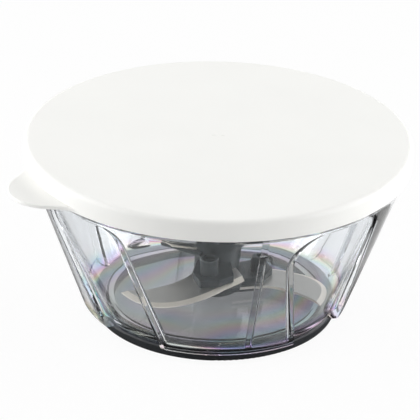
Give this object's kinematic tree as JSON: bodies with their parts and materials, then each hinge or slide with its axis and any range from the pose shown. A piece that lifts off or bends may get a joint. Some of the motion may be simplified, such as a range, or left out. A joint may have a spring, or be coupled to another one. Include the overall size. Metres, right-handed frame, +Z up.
{
  "type": "crank food chopper",
  "caption": "Clear food chopper bowl with leaning arched recesses, white storage lid with a finger tab, non-slip ring, and a spinning column of curved steel blades.",
  "frame": {"origin": "centre of the non-slip ring's underside, on the axis of the pivot pin", "axes": "+Z up along the pivot pin; the lid's finger tab points to the left and a little forward, between -X and -Y"},
  "size_m": [0.1688, 0.165, 0.08],
  "materials": {
    "clear_plastic": "clear, polished",
    "grey_rubber": "soft, satin",
    "pin_steel": "ground",
    "white_plastic": "fine satin",
    "slate_plastic": "satin",
    "bush_plastic": "smooth",
    "blade_steel": "satin, with a ground edge"
  },
  "bodies": {
    "bowl": {"bowl": "clear_plastic", "base_ring": "grey_rubber", "pivot_pin": "pin_steel"},
    "lid": {"storage_lid": "white_plastic"},
    "blade_unit": {"blade_column": "slate_plastic", "column_bush": "bush_plastic", "lower_blade": "blade_steel", "middle_blade": "blade_steel", "upper_blade": "blade_steel", "lower_clamp": "slate_plastic", "middle_clamp": "slate_plastic", "upper_clamp": "slate_plastic"}
  },
  "joints": [
    {"name": "lid_lift", "type": "slide", "parent": "bowl", "child": "lid", "axis": [0, 0, 1], "range_m": [0, 0.12]},
    {"name": "blade_spin", "type": "hinge", "parent": "bowl", "child": "blade_unit", "pos_m": [0, 0, 0], "axis": [0, 0, 1], "continuous": true}
  ]
}
